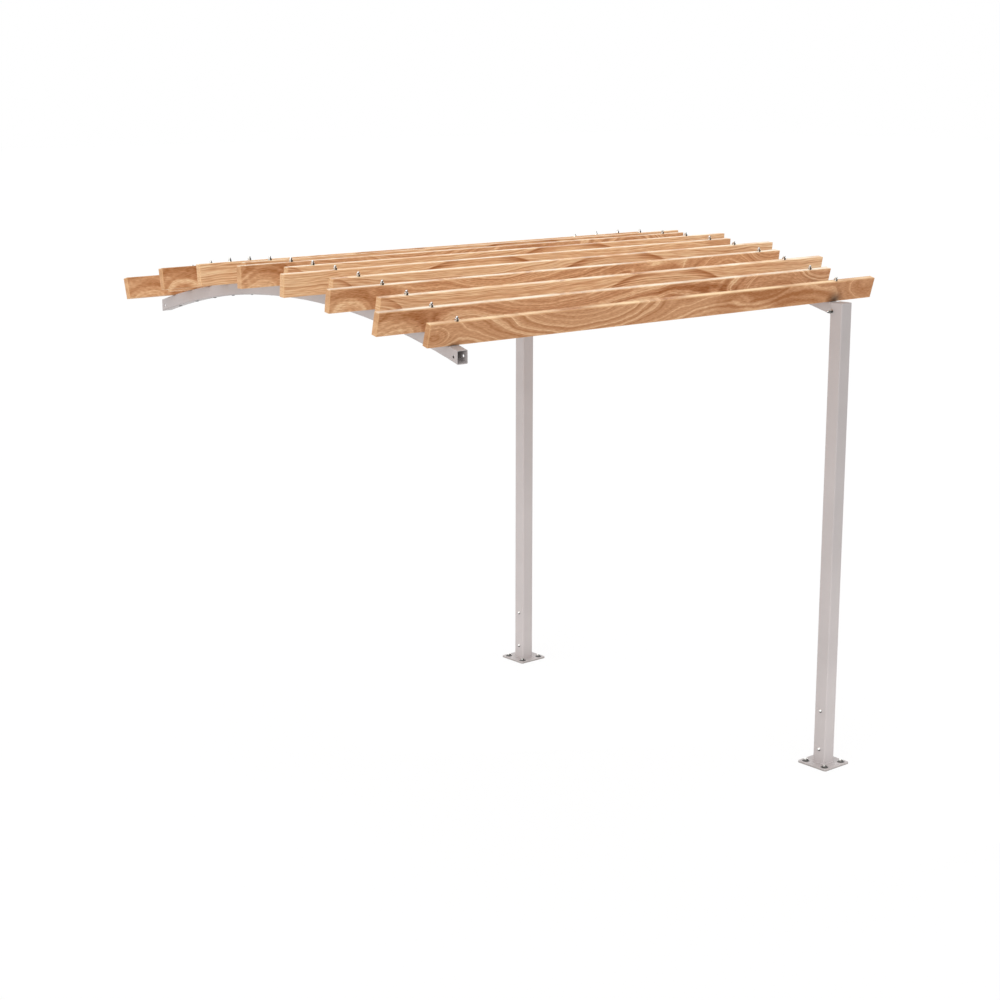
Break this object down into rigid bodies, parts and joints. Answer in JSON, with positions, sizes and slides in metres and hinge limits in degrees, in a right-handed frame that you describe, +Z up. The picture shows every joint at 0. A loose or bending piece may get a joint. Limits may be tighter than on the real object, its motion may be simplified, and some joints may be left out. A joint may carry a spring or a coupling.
{
  "type": "pergola",
  "caption": "Open pergola bay: timber rafters on edge, staggered across curved square-tube arches, on steel posts with base plates at one end and open arch ends at the other.",
  "frame": {"origin": "centre of the front post's base plate, on its underside, at ground level", "axes": "+Z up; +X along the rafters, from the open arch ends towards the posts; -Y is the front, and the back post stands at +Y"},
  "size_m": [3.154, 2.735, 2.8464],
  "materials": {
    "painted_steel": "satin",
    "timber": "matte",
    "fasteners": "satin"
  },
  "bodies": {
    "root": {"front_base_plate": "painted_steel", "back_base_plate": "painted_steel", "front_post": "painted_steel", "back_post": "painted_steel", "front_post_cap": "painted_steel", "back_post_cap": "painted_steel", "left_arch": "painted_steel", "right_arch": "painted_steel", "rafter_01": "timber", "rafter_02": "timber", "rafter_03": "timber", "rafter_04": "timber", "rafter_05": "timber", "rafter_06": "timber", "rafter_07": "timber", "rafter_08": "timber", "rafter_09": "timber", "rafter_10": "timber", "rafter_11": "timber", "rafter_12": "timber", "rafter_13": "timber", "rafter_14": "timber", "rafter_bolts_01": "fasteners", "rafter_bolts_02": "fasteners", "rafter_bolts_03": "fasteners", "rafter_bolts_04": "fasteners", "rafter_bolts_05": "fasteners", "rafter_bolts_06": "fasteners", "rafter_bolts_07": "fasteners", "rafter_bolts_08": "fasteners", "rafter_bolts_09": "fasteners", "rafter_bolts_10": "fasteners", "rafter_bolts_11": "fasteners", "rafter_bolts_12": "fasteners", "rafter_bolts_13": "fasteners", "rafter_bolts_14": "fasteners", "front_cross_bolt": "fasteners", "back_cross_bolt": "fasteners", "front_anchors": "fasteners", "back_anchors": "fasteners", "front_side_screws": "fasteners", "back_side_screws": "fasteners"}
  },
  "joints": []
}
